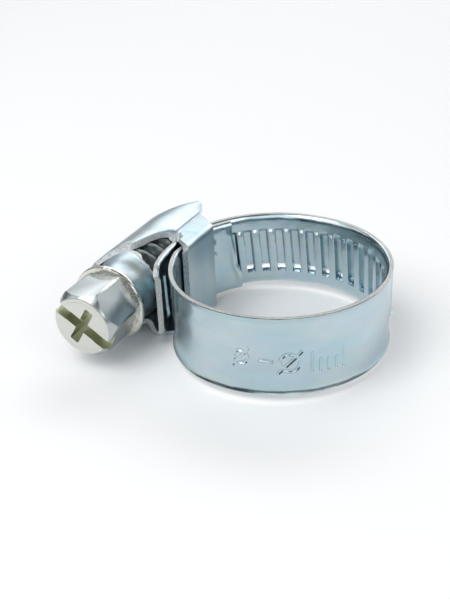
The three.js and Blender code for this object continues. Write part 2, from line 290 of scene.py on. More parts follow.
def turned_steel(name, light, warm, roughness, ring_scale=9.0, pitting=1.0):
    """Plated turned steel: cloudy warm tint and fine marks round the axis."""
    n = Nodes(name)
    clouds = n.noise((0.35, 0.35, 0.35), 4.0)
    tint = n.mix(light, warm, n.spread(clouds, 0.0, 1.0))
    pits = n.ramp(
        n.noise((3.4, 3.4, 3.4), 5.0, 0.7),
        (0.29, (0.45, 0.45, 0.40)), (0.36, (1.0, 1.0, 1.0)),
    )
    tint = n.mix(tint, pits, 0.6 * pitting, "MULTIPLY")
    marks = n.noise((ring_scale, 0.6, ring_scale), 3.0)
    dents = n.noise((0.8, 0.8, 0.8), 3.0)
    mottle = n.noise((3.0, 3.0, 3.0), 5.0, 0.65)
    n.bumps((dents, 0.5, 0.3), (mottle, 0.3 * pitting, 0.06), (marks, 0.18, 0.03))
    return n.finish(tint, n.spread(mottle, roughness - 0.06, roughness + 0.12))


def lerp_colour(a, b, t):
    return tuple(lerp(x, y, t) for x, y in zip(a, b))


BAND_ZINC = zinc(
    "band_zinc", cool=(0.44, 0.60, 0.66), warm=(0.58, 0.67, 0.71), deep=(0.30, 0.34, 0.36),
    roughness=0.2, lines=0.1, streaks=0.05,
)
HOUSING_ZINC = zinc(
    "housing_zinc", cool=(0.42, 0.56, 0.62), warm=(0.57, 0.62, 0.65), deep=(0.36, 0.39, 0.40),
    roughness=0.4, lines=0.03, streaks=0.02,
)
EDGE_ZINC = sheared("sheared_edge", light=(0.80, 0.80, 0.77), dark=(0.20, 0.21, 0.20))
TORN_ZINC = sheared("torn_edge", light=(0.86, 0.90, 0.91), dark=(0.10, 0.12, 0.13))
SCREW_ZINC = turned_steel("screw_zinc", (0.26, 0.34, 0.39), (0.74, 0.73, 0.69), 0.24)
COLLAR_ZINC = turned_steel("collar_zinc", (0.66, 0.67, 0.64), (0.76, 0.74, 0.64), 0.2, pitting=0.15)
FACE_ZINC = turned_steel("head_face_zinc", (0.60, 0.62, 0.60), (0.78, 0.77, 0.70), 0.36)
RECESS_ZINC = turned_steel("recess_zinc", (0.38, 0.42, 0.33), (0.76, 0.75, 0.60), 0.3)
# Painted shade: the worm is the screw's own plated steel, made far darker than the screw to stand in for
# the shade inside the housing.
WORM_PAINTED_SHADE_ZINC = turned_steel("worm_painted_shade_zinc", (0.13, 0.17, 0.18), (0.24, 0.26, 0.25), 0.42)


# ---- meshes ----

def face_out(mesh):
    """Turns every face of a closed mesh outward."""
    work = bmesh.new()
    work.from_mesh(mesh)
    bmesh.ops.recalc_face_normals(work, faces=work.faces)
    if work.calc_volume(signed=True) < 0:
        bmesh.ops.reverse_faces(work, faces=work.faces)
    work.to_mesh(mesh)
    work.free()


def new_piece(name, vertices, faces, flow, materials, slots=None, crease=34.0):
    """A mesh piece from points in millimetres, with its place on the sheet stored as "flow"."""
    mesh = bpy.data.meshes.new(name)
    mesh.from_pydata([place(*v) for v in vertices], [], faces)
    face_out(mesh)
    for material in materials:
        mesh.materials.append(material)
    if slots:
        mesh.polygons.foreach_set("material_index", slots)
    attribute = mesh.attributes.new("flow", "FLOAT_VECTOR", "POINT")
    attribute.data.foreach_set("vector", [c for f in flow for c in f])
    mesh.polygons.foreach_set("use_smooth", [True] * len(mesh.polygons))
    mesh.update()
    mesh.set_sharp_from_angle(angle=math.radians(crease))
    piece = bpy.data.objects.new(name, mesh)
    bpy.context.scene.collection.objects.link(piece)
    return piece


def sheet(name, columns, rows, pair, materials, is_metal=None, wraps=False, crease=34.0, edges=None):
    """A closed sheet of metal on a grid.

    pair(i, j) gives a grid point as (inner side, outer side, place along, place across). is_metal(i, j)
    says whether the cell above and to the right of that point is there. Walls close every open side.
    """
    cells = columns if wraps else columns - 1
    there = {
        (i, j)
        for i in range(cells)
        for j in range(rows - 1)
        if is_metal is None or is_metal(i, j)
    }
    vertices, flow, index = [], [], {}

    def corner(i, j):
        key = (i % columns, j)
        if key not in index:
            inner, outer, u, v = pair(*key)
            index[key] = len(vertices)
            vertices.extend((inner, outer))
            flow.extend(((u, v, 0.0), (u, v, 1.0)))
        return index[key]

    faces, slots = [], []
    wall_slot = len(materials) - 1
    for i, j in sorted(there):
        a, b, c, d = corner(i, j), corner(i + 1, j), corner(i + 1, j + 1), corner(i, j + 1)
        faces += [(a, d, c, b), (a + 1, b + 1, c + 1, d + 1)]
        slots += [0, 0]
        left = ((i - 1) % cells if wraps else i - 1, j)
        right = ((i + 1) % cells if wraps else i + 1, j)
        sides = (
            ((i, j - 1), a, b), (right, b, c), ((i, j + 1), c, d), (left, d, a),
        )
        for neighbour, p, q in sides:
            if neighbour not in there:
                faces.append((p, q, q + 1, p + 1))
                slots.append(wall_slot if edges is None or edges(neighbour) else 0)
    return new_piece(name, vertices, faces, flow, materials, slots, crease)


# ---- band ----

def turned_edge(z):
    """How far the inner and the outer side of the sheet stand out at height z."""
    t = max(0.0, (abs(z) - TURN_START) / (HALF_WIDTH - TURN_START))
    round_off = 0.07 * smoothstep(abs(z), HALF_WIDTH - 0.07, HALF_WIDTH)
    inner = -HALF_SHEET + HALF_SHEET * t ** 1.7 + round_off
    outer = HALF_SHEET + TURN_OUT * t ** 1.7 - round_off
    return inner, outer


EDGE_ROWS = [3.8, 3.95, 4.1, 4.22, 4.34, 4.43, 4.47, 4.5]


def band_rows(step):
    count = round(2 * TURN_START / step)
    middle = [lerp(-TURN_START, TURN_START, i / count) for i in range(1, count)]
    return [-z for z in reversed(EDGE_ROWS)] + middle + EDGE_ROWS


def plain_radius(angle):
    return lerp(FLAT_RADIUS, RING_RADIUS, smoothstep(angle, FLAT_ANGLE, FRONT_JOIN))


def stroke_distance(x, y, strokes):
    """Distance from a point to the nearest of the strokes, each a line or a circle."""
    nearest = 9.0
    for kind, *numbers in strokes:
        if kind == "line":
            x0, y0, x1, y1 = numbers
            length = (x1 - x0) ** 2 + (y1 - y0) ** 2
            t = min(1.0, max(0.0, ((x - x0) * (x1 - x0) + (y - y0) * (y1 - y0)) / length))
            away = math.hypot(x - lerp(x0, x1, t), y - lerp(y0, y1, t))
        else:
            x0, y0, radius = numbers
            away = abs(math.hypot(x - x0, y - y0) - radius)
        nearest = min(nearest, away)
    return nearest


# A generic stamped size mark: a small circle with a bar through it, a dash, a larger one, and ticks.
STAMP_START = 270.5              # polar angle of its left end
STAMP_RISE = -0.15               # its middle above the middle of the band, at the left end
STAMP_SLOPE = -0.094             # and how that changes along the band
STAMP_TICKS = ((8.5, 1.1), (9.4, 0.3), (10.3, 0.3), (11.2, 0.3), (12.1, 1.1))
STAMP = (
    [("circle", 1.2, 0.0, 0.72), ("line", 0.4, -1.15, 2.0, 1.15)]
    + [("line", 3.1, 0.0, 4.4, 0.0)]
    + [("circle", 6.2, 0.0, 1.0), ("line", 5.0, -1.35, 7.4, 1.35)]
    + [("line", x, -0.95, x, top) for x, top in STAMP_TICKS]
)
STAMP_LENGTH = 13.0
STAMP_REACH = 1.8                # no stroke is further than this from its middle line
STAMP_ARC = 62                   # degrees of the band that hold it
STAMP_DEPTH = 0.13
STAMP_HALF_STROKE = 0.13


def stamp_depth(angle, z):
    x = math.radians(angle - STAMP_START) * (RING_RADIUS + HALF_SHEET)
    y = z - STAMP_RISE - STAMP_SLOPE * x
    if not (-0.5 < x < STAMP_LENGTH and abs(y) < STAMP_REACH):
        return 0.0
    away = stroke_distance(x, y, STAMP)
    pressed = 1.0 - smoothstep(away, STAMP_HALF_STROKE * 0.5, STAMP_HALF_STROKE * 1.7)
    burr = math.exp(-((away - STAMP_HALF_STROKE * 2.6) / 0.1) ** 2)
    return STAMP_DEPTH * pressed - 0.02 * burr


def plain_piece(name, first, last, step, row_step):
    """A stretch of the plain band between two polar angles; it lies flat before FLAT_ANGLE."""
    count = max(2, round((last - first) / step))
    angles = [lerp(first, last, i / count) for i in range(count + 1)]
    rows = band_rows(row_step)

    def pair(i, j):
        angle, z = angles[i], rows[j]
        inner, outer = turned_edge(z)
        outer -= stamp_depth(angle, z)
        radius = plain_radius(angle)
        u = math.radians(angle) * RING_RADIUS
        return polar(radius + inner, angle, z), polar(radius + outer, angle, z), u, z

    return sheet(name, len(angles), len(rows), pair, [BAND_ZINC, EDGE_ZINC])


def fixed_end_piece(name, last):
    """The fixed end: flat in the housing, then bending into the ring."""
    flat = [lerp(FLAT_TIP_Y - TONGUE_JOIN, FLAT_HEAD_Y, i / 8) for i in range(9)]
    angles = [lerp(FLAT_ANGLE + 0.6, last, (i + 1) / 24) for i in range(24)]
    rows = band_rows(0.45)
    stations = [("flat", y) for y in flat] + [("bend", a) for a in angles]

    def pair(i, j):
        kind, value = stations[i]
        z = rows[j]
        inner, outer = turned_edge(z)
        if kind == "flat":
            # Polar angle grows towards the head, so the sides match the ring's.
            return (
                Vector((SADDLE_BAND_X - inner, value, z)), Vector((SADDLE_BAND_X - outer, value, z)),
                math.radians(FLAT_ANGLE) * RING_RADIUS - (value - FLAT_HEAD_Y), z,
            )
        radius = plain_radius(value)
        u = math.radians(value) * RING_RADIUS
        return polar(radius + inner, value, z), polar(radius + outer, value, z), u, z

    return sheet(name, len(stations), len(rows), pair, [BAND_ZINC, EDGE_ZINC])


def hinge_blend(piece):
    """Bakes the piece's transform into its mesh; nothing bends or blends it across a hinge."""
    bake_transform(piece)


def build_plain_band():
    end = 360 + thread_angle(THREAD_END_Q + 2 * THREAD_LINKS)
    span = (end - FIXED_END) / BAND_LINKS
    bodies = ["housing"] + [f"band_link_{i + 1:02d}" for i in range(BAND_LINKS)]
    for k in range(BAND_LINKS):
        hinge = FIXED_END + k * span
        first, last = hinge - span / 2, hinge + span / 2
        body, child = bodies[k], bodies[k + 1]
        if k == 0:
            piece = fixed_end_piece("band_fixed_bend", last)
            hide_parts("band_fixed_end")
        else:
            stamped = last > STAMP_START - 2 and first < STAMP_START + STAMP_ARC
            piece = plain_piece(f"band_run_{k:02d}", first, last, 0.33 if stamped else 0.6,
                                0.09 if stamped else 0.4)
            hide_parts(body)
        hinge_blend(piece)
    piece = plain_piece(f"band_run_{BAND_LINKS:02d}", end - span / 2, end, 0.6, 0.4)
    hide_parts(bodies[-1])
    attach(piece, bodies[-1])


# ---- thread ----

def thread_angle(q):
    """Polar angle about the ring's centre at q pitches, on the far side of the threaded piece."""
    hinge = polar(RING_RADIUS, 180 - THREAD_END_Q * PITCH_ANGLE, 0, THREAD_CENTRE_X)
    start = math.degrees(math.atan2(hinge.y, hinge.x))
    return start - (q - THREAD_END_Q) * PITCH_ANGLE


def thread_point(q, z, out):
    near_angle = 180 - q * PITCH_ANGLE
    share = max(0.0, (near_angle - TAIL_LIFT_ANGLE) / (TAIL_END_ANGLE - TAIL_LIFT_ANGLE))
    radius = RING_RADIUS + TAIL_LIFT * share ** 1.2 + out
    near = polar(radius, near_angle, z, THREAD_CENTRE_X)
    far = polar(RING_RADIUS + out, thread_angle(q), z)
    return near.lerp(far, smoothstep(q, THREAD_END_Q - 0.45, THREAD_END_Q + 0.45))


# Shares of a pitch where the grid has a column: the rib is from 0.24 to 0.76.
RIB_COLUMNS = [0.0, 0.06, 0.11, 0.18, 0.235, 0.26, 0.29, 0.31, 0.36, 0.43, 0.5,
               0.57, 0.64, 0.69, 0.71, 0.74, 0.765, 0.82, 0.89, 0.94]
HOLE_LOW, HOLE_HIGH = -2.75, -2.2
SPOT_LOW, SPOT_HIGH = 2.3, 2.7
RIB_FIRST_Q, RIB_LAST_Q = -3, THREAD_END_Q + 2 * THREAD_LINKS

THREAD_ROWS = (
    [-z for z in reversed(EDGE_ROWS)]
    + [-3.5, -3.2, -2.95, -2.82, HOLE_LOW, -2.6, -2.42, HOLE_HIGH, -2.1, -1.9, -1.4, -0.9, -0.45, 0.0,
       0.45, 0.9, 1.4, 1.9, 2.1, SPOT_LOW, 2.42, 2.58, SPOT_HIGH, 2.82, 2.95, 3.2, 3.5]
    + EDGE_ROWS
)


def rib_rise(q, z):
    """How far a rib is pressed out at q pitches and height z."""
    if not RIB_FIRST_Q <= q < RIB_LAST_Q:
        return 0.0
    share = q - math.floor(q)
    across = min(smoothstep(share, 0.235, 0.31), 1 - smoothstep(share, 0.69, 0.765))
    up = 1 - smoothstep(z, 2.1, 2.95)
    down = smoothstep(z, -2.95, HOLE_LOW)
    return RIB_HEIGHT * across * up * down


def flat_dent(q, z):
    """Strips between the ribs lie a little inside the margins, and end in a soft step."""
    share = (q + 0.5) % 1.0
    across = min(smoothstep(share, 0.26, 0.34), 1 - smoothstep(share, 0.66, 0.74))
    return -0.07 * across * smoothstep(z, -3.3, -2.4) * (1 - smoothstep(z, 2.0, 2.9))


def lean(q, z):
    """The ribs' slant, in pitches. It fades in the margins and at the tail."""
    inside = 1 - smoothstep(abs(z), 2.95, TURN_START)
    return -RIB_SLANT * z / PITCH * inside * smoothstep(q, TAIL_Q, RIB_FIRST_Q - 0.05)


def thread_piece(name, first, last):
    """A stretch of the threaded band from first to last, in pitches from the screw."""
    stations = []
    for whole in range(math.floor(first), math.ceil(last) + 1):
        stations += [whole + share for share in RIB_COLUMNS if first + 1e-6 < whole + share < last - 1e-6]
    stations = [first] + stations + [last]
    rows = THREAD_ROWS

    def pair(i, j):
        q, z = stations[i], rows[j]
        inner, outer = turned_edge(z)
        rise = rib_rise(q, z)
        dent = flat_dent(q, z) if RIB_FIRST_Q <= q <= RIB_LAST_Q else 0.0
        corner = smoothstep(q, TAIL_Q, TAIL_Q + 0.62)
        tall = z * lerp(0.8, 1.0, math.sqrt(corner))
        leaned = q + lean(q, z)
        # The open end of a rib leans further out, as the sheet does where it has been lanced.
        flare = 0.12 * smoothstep(-z, 1.6, 2.2) * (rise / RIB_HEIGHT)
        u = -q * PITCH
        return (
            thread_point(leaned, tall, inner + rise + dent + flare),
            thread_point(leaned, tall, outer + rise + dent + flare), u, z,
        )

    def is_metal(i, j):
        q = (stations[i] + stations[i + 1]) / 2
        z = (rows[j] + rows[j + 1]) / 2
        if not RIB_FIRST_Q < q < RIB_LAST_Q:
            return True
        share = q - math.floor(q)
        hole = HOLE_LOW < z < HOLE_HIGH and 0.29 < share < 0.71
        beside = min(share, 1 - share)
        spot = SPOT_LOW < z < SPOT_HIGH and beside < 0.11
        return not (hole or spot)

    def rim(neighbour):
        return neighbour[1] < 0 or neighbour[1] >= len(rows) - 1 or neighbour[0] < 0

    return sheet(name, len(stations), len(rows), pair, [BAND_ZINC, EDGE_ZINC], is_metal, edges=rim)


def build_thread():
    piece = thread_piece("thread_main", TAIL_Q, THREAD_END_Q - 1)
    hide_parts("band_thread")
    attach(piece, "band_thread")
    bodies = ["band_thread"] + [f"thread_link_{i + 1:02d}" for i in range(THREAD_LINKS)]
    for k in range(THREAD_LINKS):
        hinge = THREAD_END_Q + 2 * k
        piece = thread_piece(f"thread_run_{k + 1:02d}", hinge - 1, hinge + 1)
        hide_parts(bodies[k + 1])
        hinge_blend(piece)
    last = THREAD_END_Q + 2 * THREAD_LINKS
    piece = thread_piece(f"thread_run_{THREAD_LINKS + 1:02d}", last - 1, last)
    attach(piece, bodies[-1])


def build_tongue():
    """The tongue: the last stretch of the fixed end, with an S-shaped lifted lip."""
    start = 180 - math.degrees(math.asin((FLAT_TIP_Y + TONGUE_JOIN) / TONGUE_RADIUS))
    rows = band_rows(0.28)
    columns = 56

    def pair(i, j):
        z = rows[j]
        end = TONGUE_END + 2.4 * smoothstep(z, -0.2, 3.6) - 3.8 * smoothstep(-z, 0.4, 3.0)
        angle = lerp(start, end, (i / (columns - 1)) ** 0.8)
        inner, outer = turned_edge(z)
        from_end = math.radians(angle - end) * TONGUE_RADIUS
        lip = -0.2 * math.exp(-((from_end - 0.45) / 0.35) ** 2) * (1 - smoothstep(abs(z), 3.0, 3.9))
        dimples = sum(
            -0.16 * math.exp(-((from_end - x) ** 2 + (z - y) ** 2) / 0.09)
            for x, y in ((2.9, 0.9), (2.8, 2.3), (4.6, -1.0))
        )
        radius = TONGUE_RADIUS + lip + dimples
        u = math.radians(angle) * TONGUE_RADIUS
        return (
            polar(radius + inner, angle, z, THREAD_CENTRE_X),
            polar(radius + outer, angle, z, THREAD_CENTRE_X), u, z,
        )

    piece = sheet("band_tongue_lip", columns, len(rows), pair, [BAND_ZINC, EDGE_ZINC])
    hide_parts("band_tongue")
    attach(piece, "band_tongue")


# ---- housing ----

# The folded sheet's section above its middle, as (outside, inside) points of X and Z.
WRAP = [
    ((-9.7, 0.0), (-10.4, 0.0)), ((-9.7, 1.5), (-10.4, 1.5)), ((-9.7, 3.0), (-10.4, 3.0)),
    ((-9.7, 4.2), (-10.4, 4.1)), ((-9.7, 4.7), (-10.41, 4.42)), ((-9.76, 5.02), (-10.46, 4.58)),
    ((-9.92, 5.22), (-10.58, 4.68)), ((-10.2, 5.3), (-10.75, 4.74)), ((-10.9, 5.3), (-11.1, 4.75)),
    ((-11.7, 5.3), (-11.6, 4.75)), ((-12.4, 5.29), (-12.1, 4.74)), ((-12.95, 5.24), (-12.65, 4.7)),
    ((-13.3, 5.06), (-12.9, 4.56)), ((-13.55, 4.76), (-13.06, 4.32)), ((-13.7, 4.4), (-13.16, 4.0)),
    ((-13.85, 4.1), (-13.28, 3.62)), ((-14.05, 3.94), (-13.6, 3.38)), ((-14.25, 3.95), (-14.1, 3.36)),
]
DOME_EDGE = 60.0
DOME_STEPS = 30

# Where the sheet is cut, as Y against X: the head side above and below, and the tip side.
HEAD_ABOVE = [
    (-21.0, -6.1), (-19.6, -5.7), (-18.6, -4.6), (-17.6, -4.0), (-16.7, -3.2), (-16.2, -1.9),
    (-15.7, 0.1), (-15.1, 1.6), (-14.5, 2.0), (-13.7, 1.0), (-12.6, -0.2), (-11.5, -1.0),
    (-10.7, -1.6), (-9.9, -2.4),
]
HEAD_BELOW = [
    (-21.0, -6.1), (-19.3, -5.7), (-15.5, -5.3), (-12.5, -5.1), (-11.0, -4.2), (-9.9, -2.6),
]
SADDLE_ENDS = (-2.5, 3.65)       # where the saddle is cut, which is straight
SADDLE_HALF = 4.9
TORN_FROM_X, TORN_TO_X = -19.6, -11.6
TIP = [
    (-21.05, 9.5), (-20.6, 10.0), (-20.0, 10.3), (-19.0, 10.55), (-18.0, 10.6), (-16.4, 10.6),
    (-15.5, 10.4), (-14.9, 10.0), (-14.45, 9.3), (-14.05, 8.3), (-13.3, 7.1), (-12.4, 5.9),
    (-11.2, 4.9), (-10.5, 4.0), (-9.9, 3.65),
]


def section_point(section, s):
    """A point on a smooth line through the section's points."""
    i = min(int(s), len(section) - 2)
    t = s - i
    p = [section[max(0, i - 1)], section[i], section[i + 1], section[min(len(section) - 1, i + 2)]]
    found = []
    for side in (0, 1):
        axes = []
        for axis in (0, 1):
            a, b, c, d = (point[side][axis] for point in p)
            axes.append(0.5 * (2 * b + (c - a) * t + (2 * a - 5 * b + 4 * c - d) * t * t
                               + (3 * b - a - 3 * c + d) * t ** 3))
        found.append(tuple(axes))
    return found


def housing_outline():
    """Closed (outside, inside) section, from the middle of the saddle up, over the dome and back."""
    dome = []
    for i in range(DOME_STEPS + 1):
        turn = math.radians(lerp(DOME_EDGE, 180, i / DOME_STEPS))
        dome.append(tuple(
            (SCREW_X + radius * math.cos(turn), radius * math.sin(turn))
            for radius in (DOME_OUTER, DOME_INNER)
        ))
    section = WRAP + dome[:1]
    fine = [section_point(section, i / 4) for i in range(4 * (len(section) - 1))]
    top = fine + dome
    bottom = [tuple((x, -z) for x, z in point) for point in reversed(top[1:-1])]
    return top + bottom


def build_housing():
    outline = housing_outline()
    half = len(outline) // 2
    shares = [0.0, 0.006, 0.014, 0.025, 0.04, 0.06]
    shares += [lerp(0.06, 0.96, (i + 1) / 34) for i in range(34)] + [0.975, 0.988, 1.0]

    def pair(i, j):
        (ox, oz), (ix, iz) = outline[i]
        x = (ox + ix) / 2
        above = i <= half
        head = along(x, HEAD_ABOVE if above else HEAD_BELOW)
        tip = along(x, TIP)
        saddle = 1 - smoothstep(x, -10.5, -9.9) if abs(oz) > SADDLE_HALF else 0.0
        if abs(oz) <= SADDLE_HALF and x > -11:
            head, tip = SADDLE_ENDS
        ragged = 0.22 * wobble(i * 0.5, 1.0, 2.0, 0.9) + 0.1 * wobble(i * 0.5, 5.0, 1.0, 2.7)
        if x < -12.0 and above:
            head += ragged * smoothstep(x, -20.5, -18.5)
        is_torn = above and TORN_FROM_X < x < TORN_TO_X
        torn = math.exp(-(tip - head) * shares[j] / 0.3) if is_torn else 0.0
        burr = 0.1 + 0.16 * wobble(i * 0.31, 3.0, 7.0, 1.3)
        slope = SHEAR_SLOPE * (1 + 0.9 * wobble(i * 0.4, 8.0, 4.0, 1.1)) if is_torn else 0.0
        points = []
        for side, (px, pz) in enumerate(((ix, iz), (ox, oz))):
            y = lerp(head + slope * side, tip, shares[j])
            drop = ROOF_DROP * max(0.0, (y - ROOF_DROP_START) / (HOUSING_TIP - ROOF_DROP_START)) ** 2
            drop += ROOF_LOBE * smoothstep(y, HOUSING_TIP - 2.2, HOUSING_TIP) ** 2
            share = min(1.0, max(0.0, (ROOF_EDGE_X - px) / (ROOF_EDGE_X - SCREW_X + DOME_OUTER)))
            # The cut presses the outside down over the head side's edge and leaves a burr inside.
            away = Vector((ix - ox, 0, iz - oz)).normalized()
            sink = 0.14 * torn if side else burr * torn
            point = Vector((px + drop * share, y, pz)) + away * sink
            if side == 0 and torn:
                point.y += 0.14 * torn * wobble(i * 0.7, 2.0, 9.0, 1.7)
            points.append(point)
        around = math.degrees(math.atan2(oz, ox - SCREW_X))
        return points[0], points[1], around * 0.08 + saddle, y

    columns = len(outline)
    piece = sheet("housing_shell", columns, len(shares), pair, [HOUSING_ZINC, TORN_ZINC], wraps=True)
    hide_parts("housing")
    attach(piece, "housing")


def lathe(name, profile, materials, body, segments=128, ragged=None, slots=None, centre_x=None):
    """A closed ring about the screw's axis from a closed profile of (radius, y)."""
    centre = SCREW_X if centre_x is None else centre_x
    vertices, flow, faces = [], [], []
    count = len(profile)
    for i in range(segments):
        turn = 2 * math.pi * i / segments
        for k, (radius, y) in enumerate(profile):
            dr, dy = ragged(turn, k) if ragged else (0.0, 0.0)
            r = radius + dr
            vertices.append((centre + r * math.cos(turn), y + dy, r * math.sin(turn)))
            flow.append((r * math.cos(turn), y, r * math.sin(turn)))
    for i in range(segments):
        for k in range(count):
            a = i * count + k
            b = i * count + (k + 1) % count
            step = count if i + 1 < segments else count - segments * count
            faces.append((a, b, b + step, a + step))
    face_slots = [slots(k) for _ in range(segments) for k in range(count)] if slots else None
    piece = new_piece(name, vertices, faces, flow, materials, face_slots)
    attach(piece, body)
    return piece


def build_neck():
    """The neck: a collar of sheet round the screw, with a torn end under the dome's edge."""
    outer = [(3.38, -7.86), (3.55, -7.8), (3.63, -7.66), (3.64, -7.2), (3.66, -6.6), (3.7, -6.1),
             (3.76, -5.7), (3.84, -5.3), (3.92, -4.7), (3.95, -3.9), (3.95, -3.1)]
    inner = [(3.86, -3.15), (3.85, -4.1), (3.6, -4.7), (3.3, -5.2), (3.1, -5.6), (2.98, -6.2),
             (2.95, -7.0), (2.95, -7.7), (3.1, -7.84)]
    torn_from = 9

    def ragged(turn, k):
        if not torn_from <= k <= len(outer) + 1:
            return 0.0, 0.0
        rough = wobble(math.cos(turn) * 3.8, math.sin(turn) * 3.8, 0.3, 1.5)
        beside_band = smoothstep(math.cos(turn), 0.0, 0.7)
        near_end = 1.0 if len(outer) - 1 <= k <= len(outer) else 0.45
        return 0.0, near_end * (0.5 * rough - 1.0 * beside_band)

    lathe("housing_neck", outer + inner, [HOUSING_ZINC, TORN_ZINC], "housing",
          ragged=ragged, slots=lambda k: 1 if torn_from <= k <= len(outer) else 0)


# ---- screw ----

def solid_from(name, blank, tools):
    """The blank with each (operation, tool) applied to it exactly; the blank and tools are removed."""
    for operation, tool in tools:
        modifier = blank.modifiers.new(operation, "BOOLEAN")
        modifier.operation = operation
        modifier.object = tool
        modifier.solver = "EXACT"
        modifier.material_mode = "TRANSFER"
    bpy.context.view_layer.update()
    graph = bpy.context.evaluated_depsgraph_get()
    mesh = bpy.data.meshes.new_from_object(blank.evaluated_get(graph))
    for _, tool in tools:
        bpy.data.objects.remove(tool)
    bpy.data.objects.remove(blank)
    solid = bpy.data.objects.new(name, mesh)
    bpy.context.scene.collection.objects.link(solid)
    return solid


def outline_prism(name, outline, depth, turn, top):
    """A prism whose outline lies across the screw's axis, from top down by depth along Y."""
    angle = math.radians(turn)
    count = len(outline)
    vertices, flow = [], []
    for y in (top, top + depth):
        for x, z in outline:
            vertices.append((
                SCREW_X + x * math.cos(angle) + z * math.sin(angle), y,
                -x * math.sin(angle) + z * math.cos(angle),
            ))
            flow.append((x, y, z))
    faces = [tuple(range(count)), tuple(reversed(range(count, 2 * count)))]
    faces += [(i, i + count, (i + 1) % count + count, (i + 1) % count) for i in range(count)]
    return new_piece(name, vertices, faces, flow, [RECESS_ZINC])


def rounded_bar(length, width, corner, steps=4):
    outline = []
    for sx, sz, start in ((1, 1, 0), (-1, 1, 90), (-1, -1, 180), (1, -1, 270)):
        for i in range(steps + 1):
            turn = math.radians(start + 90 * i / steps)
            outline.append((
                sx * (length / 2 - corner) + corner * math.cos(turn),
                sz * (width / 2 - corner) + corner * math.sin(turn),
            ))
    return outline


def spun(name, profile, materials, segments=96, slot_of=None):
    """A solid of revolution about the screw's axis from an open profile that starts and ends on it."""
    vertices = [(SCREW_X, profile[0][1], 0), (SCREW_X, profile[-1][1], 0)]
    rings = profile[1:-1]
    for radius, y in rings:
        for i in range(segments):
            turn = 2 * math.pi * i / segments
            vertices.append((SCREW_X + radius * math.cos(turn), y, radius * math.sin(turn)))
    faces, slots = [], []
    for k in range(len(rings) + 1):
        for i in range(segments):
            n = (i + 1) % segments
            a, b = 2 + (k - 1) * segments + i, 2 + (k - 1) * segments + n
            if k == 0:
                faces.append((0, b + segments, a + segments))
            elif k == len(rings):
                faces.append((a, b, 1))
            else:
                faces.append((a, b, b + segments, a + segments))
            slots.append(slot_of(k) if slot_of else 0)
    flow = [(x - SCREW_X, y, z) for x, y, z in vertices]
    return new_piece(name, vertices, faces, flow, materials, slots)


def build_head():
    """Hexagon head with a chamfered end, a slot right across and a cross recess."""
    face = HEX_ACROSS_FLATS / 2 - END_FACE_MARGIN
    top = HEAD_END
    cone = spun(
        "head_blank",
        [(0, top + 0.05), (1.9, top + 0.05), (2.2, top), (2.74, top), (2.8, top), (2.9, top + 0.036),
         (3.0, top), (3.06, top), (face - 0.12, top), (face, top + 0.06),
         (face + 0.8, top + 1.25), (face + 0.8, COLLAR_FRONT + 0.1), (0, COLLAR_FRONT + 0.1)],
        [SCREW_ZINC, FACE_ZINC], slot_of=lambda k: 1 if k < 9 else 0,
    )
    hexagon = []
    for i in range(6):
        for nudge in (-2.0, 2.0):
            turn = math.radians(60 * i + 30 + nudge)
            reach = HEX_ACROSS_FLATS / 2 / math.cos(math.radians(30 - abs(nudge)))
            hexagon.append((reach * math.cos(turn), reach * math.sin(turn)))
    start = top - CUT_START
    prism = outline_prism("head_hexagon", hexagon, COLLAR_FRONT + 0.3 - start, -HEX_TURN, start)
    prism.data.materials[0] = SCREW_ZINC
    slot_bar = rounded_bar(HEX_ACROSS_FLATS * 1.4, SLOT_WIDTH, 0.12)
    cross_bar = rounded_bar(CROSS_LENGTH, CROSS_WIDTH, 0.2)
    slot = outline_prism("head_slot", slot_bar, SLOT_DEPTH + CUT_START, SLOT_TURN, start)
    cross = outline_prism("head_cross", cross_bar, CROSS_DEPTH + CUT_START, SLOT_TURN + 90, start)
    along_slot = outline_prism("head_cross_long", cross_bar, CROSS_DEPTH + CUT_START, SLOT_TURN, start)
    head = solid_from("screw_head", cone, [
        ("INTERSECT", prism), ("DIFFERENCE", slot), ("DIFFERENCE", cross), ("DIFFERENCE", along_slot),
    ])
    return head


def finish_solid(piece, body, bevel, crease=30.0):
    """Rounded edges, smooth shading and a body for a piece made by cutting."""
    modifier = piece.modifiers.new("edges", "BEVEL")
    modifier.width = bevel * MM
    modifier.segments = 3
    modifier.limit_method = "ANGLE"
    modifier.angle_limit = math.radians(crease)
    modifier.harden_normals = False
    piece.data.polygons.foreach_set("use_smooth", [True] * len(piece.data.polygons))
    piece.data.set_sharp_from_angle(angle=math.radians(40))
    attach(piece, body)


